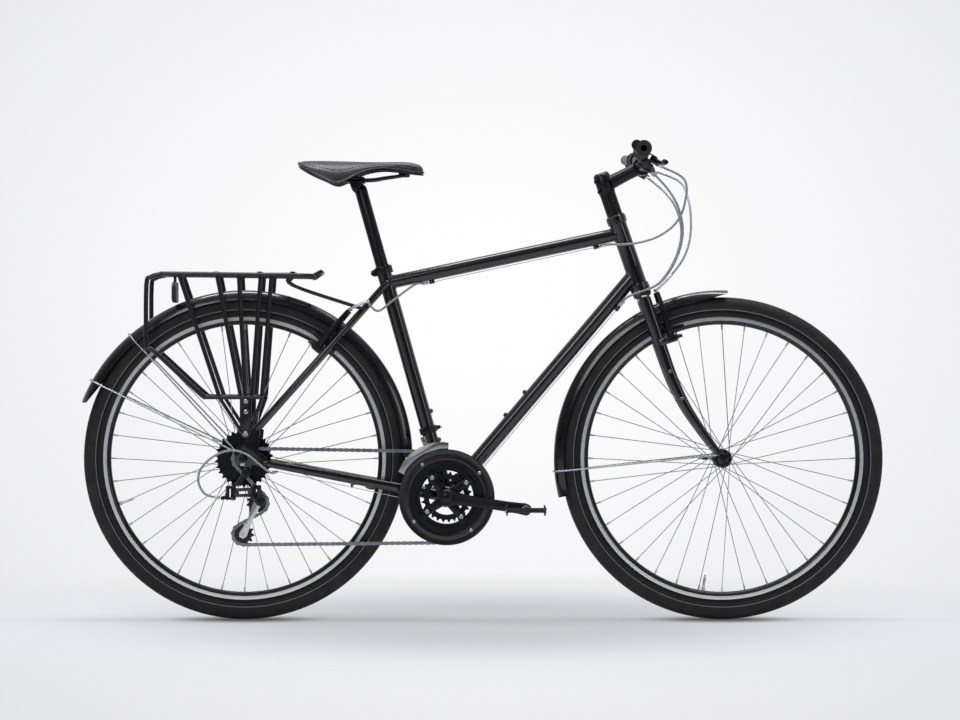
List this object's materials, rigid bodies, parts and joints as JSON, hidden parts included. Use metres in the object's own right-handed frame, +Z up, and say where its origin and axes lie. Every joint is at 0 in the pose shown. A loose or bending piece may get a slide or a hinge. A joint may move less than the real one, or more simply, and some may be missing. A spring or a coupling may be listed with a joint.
{
  "type": "touring bicycle",
  "caption": "Diamond-frame touring bicycle with derailleur gears, rim brakes, flat bar, fenders and a rear rack.",
  "frame": {"origin": "middle of the bicycle's outline on the ground, under the wheels' plane", "axes": "+X forward along the bicycle, +Y to the rider's left, +Z up"},
  "size_m": [1.7216, 0.6088, 1.0171],
  "materials": {
    "frame_paint": "gloss black paint",
    "rack_paint": "satin black",
    "fender_plastic": "gloss black",
    "stay_steel": "stainless wire",
    "reflector": "clear red",
    "cable_housing": "smooth light grey",
    "chain_steel": "oiled steel",
    "bearing_steel": "plain",
    "ring_steel": "plain",
    "guard_black": "satin black",
    "crank_black": "satin black",
    "pedal_plastic": "grained",
    "black_alloy": "satin black anodised",
    "derailleur_black": "satin",
    "derailleur_steel": "bright",
    "pulley_plastic": "plain",
    "grip_rubber": "ribbed",
    "lever_black": "satin",
    "brake_black": "satin",
    "saddle_cover": "smooth vinyl",
    "tyre": "black with a grey reflective line",
    "rim_aluminium": "black rim with a bright brake track",
    "spoke_steel": "bright spokes"
  },
  "bodies": {
    "frame": {"head_tube": "frame_paint", "top_tube": "frame_paint", "down_tube": "frame_paint", "seat_tube": "frame_paint", "chain_stays": "frame_paint", "seat_stays": "frame_paint", "bottom_bracket_cartridge": "bearing_steel", "seat_clamp": "black_alloy", "rear_axle": "black_alloy", "rear_fender": "fender_plastic", "rear_fender_stays": "stay_steel", "rear_rack": "rack_paint", "rear_reflector": "reflector", "rear_brake_cable": "cable_housing", "front_shift_cable": "cable_housing", "rear_shift_cable": "cable_housing", "chain": "chain_steel", "front_derailleur_clamp": "derailleur_black", "rear_derailleur_bracket": "derailleur_black"},
    "seat": {"seat_post": "black_alloy", "saddle_rails": "bearing_steel", "saddle": "saddle_cover"},
    "steering": {"fork": "frame_paint", "stem": "black_alloy", "handlebar": "black_alloy", "grip_right": "grip_rubber", "grip_left": "grip_rubber", "lever_mount_right": "lever_black", "lever_mount_left": "lever_black", "front_fender": "fender_plastic", "front_fender_stays": "stay_steel", "front_brake_cable": "cable_housing", "front_axle": "black_alloy"},
    "front_wheel": {"front_tire": "tyre", "front_rim": "rim_aluminium", "front_hub": "spoke_steel"},
    "rear_wheel": {"rear_tire": "tyre", "rear_rim": "rim_aluminium", "rear_hub": "spoke_steel"},
    "cassette": {"cassette": "chain_steel"},
    "crankset": {"crank_arm_right": "crank_black", "crank_arm_left": "crank_black", "outer_chainring": "guard_black", "inner_chainrings": "ring_steel"},
    "right_pedal": {"pedal_right": "pedal_plastic"},
    "left_pedal": {"pedal_left": "pedal_plastic"},
    "front_derailleur": {"front_derailleur_cage": "derailleur_steel"},
    "rear_derailleur_link": {"rear_derailleur_link": "derailleur_black"},
    "rear_derailleur_knuckle": {"rear_derailleur_knuckle": "derailleur_black"},
    "rear_derailleur_cage": {"rear_derailleur_cage": "derailleur_steel"},
    "guide_pulley": {"guide_pulley": "pulley_plastic"},
    "tension_pulley": {"tension_pulley": "pulley_plastic"},
    "right_brake_lever": {"brake_lever_right": "lever_black"},
    "left_brake_lever": {"brake_lever_left": "lever_black"},
    "right_shift_lever": {"shift_lever_right": "lever_black"},
    "left_shift_lever": {"shift_lever_left": "lever_black"},
    "front_brake_right": {"front_brake_arm_right": "brake_black"},
    "front_brake_left": {"front_brake_arm_left": "brake_black"},
    "rear_brake_right": {"rear_brake_arm_right": "brake_black"},
    "rear_brake_left": {"rear_brake_arm_left": "brake_black"}
  },
  "joints": [
    {"name": "steering_turn", "type": "hinge", "parent": "frame", "child": "steering", "pos_m": [0.34338, 0, 0.69945], "axis": [-0.3256, 0, 0.9455], "range_deg": [-70, 70], "deforming": ["rear_brake_cable", "front_shift_cable", "rear_shift_cable"]},
    {"name": "front_wheel_spin", "type": "hinge", "parent": "steering", "child": "front_wheel", "pos_m": [0.51479, 0, 0.346], "axis": [0, 1, 0], "continuous": true},
    {"name": "rear_wheel_spin", "type": "hinge", "parent": "frame", "child": "rear_wheel", "pos_m": [-0.51021, 0, 0.346], "axis": [0, 1, 0], "continuous": true},
    {"name": "crank_spin", "type": "hinge", "parent": "frame", "child": "crankset", "pos_m": [-0.07588, 0, 0.264], "axis": [0, 1, 0], "continuous": true, "deforming": ["chain"]},
    {"name": "cassette_spin", "type": "hinge", "parent": "frame", "child": "cassette", "pos_m": [-0.51021, 0, 0.346], "axis": [0, 1, 0], "continuous": true},
    {"name": "right_pedal_spin", "type": "hinge", "parent": "crankset", "child": "right_pedal", "pos_m": [0.09229, -0.13, 0.23917], "axis": [0, 1, 0], "continuous": true},
    {"name": "left_pedal_spin", "type": "hinge", "parent": "crankset", "child": "left_pedal", "pos_m": [-0.24406, 0.13, 0.28883], "axis": [0, 1, 0], "continuous": true},
    {"name": "front_derailleur_shift", "type": "slide", "parent": "frame", "child": "front_derailleur", "axis": [0, 1, 0], "range_m": [0, 0.015]},
    {"name": "rear_derailleur_shift", "type": "hinge", "parent": "frame", "child": "rear_derailleur_link", "pos_m": [-0.53021, -0.078, 0.274], "axis": [0, 0.342, 0.9397], "range_deg": [0, 50], "stiffness_Nm_per_rad": 0.8, "springref_deg": -17.19},
    {"name": "rear_derailleur_level", "type": "hinge", "parent": "rear_derailleur_link", "child": "rear_derailleur_knuckle", "pos_m": [-0.48645, -0.08232, 0.27557], "axis": [0, 0.342, 0.9397], "range_deg": [-51, 1]},
    {"name": "rear_derailleur_tension", "type": "hinge", "parent": "rear_derailleur_knuckle", "child": "rear_derailleur_cage", "pos_m": [-0.47221, 0, 0.257], "axis": [0, 1, 0], "range_deg": [-35, 45], "stiffness_Nm_per_rad": 1.5},
    {"name": "guide_pulley_spin", "type": "hinge", "parent": "rear_derailleur_cage", "child": "guide_pulley", "pos_m": [-0.47921, -0.06, 0.252], "axis": [0, 1, 0], "continuous": true},
    {"name": "tension_pulley_spin", "type": "hinge", "parent": "rear_derailleur_cage", "child": "tension_pulley", "pos_m": [-0.51005, -0.06, 0.18528], "axis": [0, 1, 0], "continuous": true},
    {"name": "right_brake_pull", "type": "hinge", "parent": "steering", "child": "right_brake_lever", "pos_m": [0.36079, -0.151, 0.98083], "axis": [-0.5, 0, -0.866], "range_deg": [0, 22], "stiffness_Nm_per_rad": 0.6, "springref_deg": -5.73},
    {"name": "left_brake_pull", "type": "hinge", "parent": "steering", "child": "left_brake_lever", "pos_m": [0.36079, 0.151, 0.98083], "axis": [0.5, 0, 0.866], "range_deg": [0, 22], "stiffness_Nm_per_rad": 0.6, "springref_deg": -5.73, "deforming": ["front_brake_cable"]},
    {"name": "right_shift_push", "type": "hinge", "parent": "steering", "child": "right_shift_lever", "pos_m": [0.34967, -0.137, 0.95905], "axis": [0.5, 0, 0.866], "range_deg": [0, 25], "stiffness_Nm_per_rad": 0.1, "springref_deg": -5.73},
    {"name": "left_shift_push", "type": "hinge", "parent": "steering", "child": "left_shift_lever", "pos_m": [0.34967, 0.137, 0.95905], "axis": [-0.5, 0, -0.866], "range_deg": [0, 25], "stiffness_Nm_per_rad": 0.1, "springref_deg": -5.73},
    {"name": "front_brake_left_swing", "type": "hinge", "parent": "steering", "child": "front_brake_left", "pos_m": [0.39589, 0.042, 0.59915], "axis": [0.9455, 0, 0.3256], "range_deg": [0, 4]},
    {"name": "front_brake_right_swing", "type": "hinge", "parent": "steering", "child": "front_brake_right", "pos_m": [0.39589, -0.042, 0.59915], "axis": [-0.9455, 0, -0.3256], "range_deg": [0, 4]},
    {"name": "rear_brake_left_swing", "type": "hinge", "parent": "frame", "child": "rear_brake_left", "pos_m": [-0.34563, 0.042, 0.57599], "axis": [0.7468, 0, -0.665], "range_deg": [0, 4]},
    {"name": "rear_brake_right_swing", "type": "hinge", "parent": "frame", "child": "rear_brake_right", "pos_m": [-0.34563, -0.042, 0.57599], "axis": [-0.7468, 0, 0.665], "range_deg": [0, 4]},
    {"name": "seat_post_slide", "type": "slide", "parent": "frame", "child": "seat", "axis": [-0.2706, 0, 0.9627], "range_m": [-0.1, 0.04]}
  ],
  "couplings": [
    {"joint": "cassette_spin", "follows": "crank_spin", "ratio": 4.3636},
    {"joint": "guide_pulley_spin", "follows": "crank_spin", "ratio": -4.3636},
    {"joint": "tension_pulley_spin", "follows": "crank_spin", "ratio": 4.3636},
    {"joint": "rear_derailleur_level", "follows": "rear_derailleur_shift", "ratio": -1},
    {"joint": "front_brake_left_swing", "follows": "left_brake_pull", "ratio": 0.18},
    {"joint": "front_brake_right_swing", "follows": "left_brake_pull", "ratio": 0.18},
    {"joint": "rear_brake_left_swing", "follows": "right_brake_pull", "ratio": 0.18},
    {"joint": "rear_brake_right_swing", "follows": "right_brake_pull", "ratio": 0.18}
  ]
}
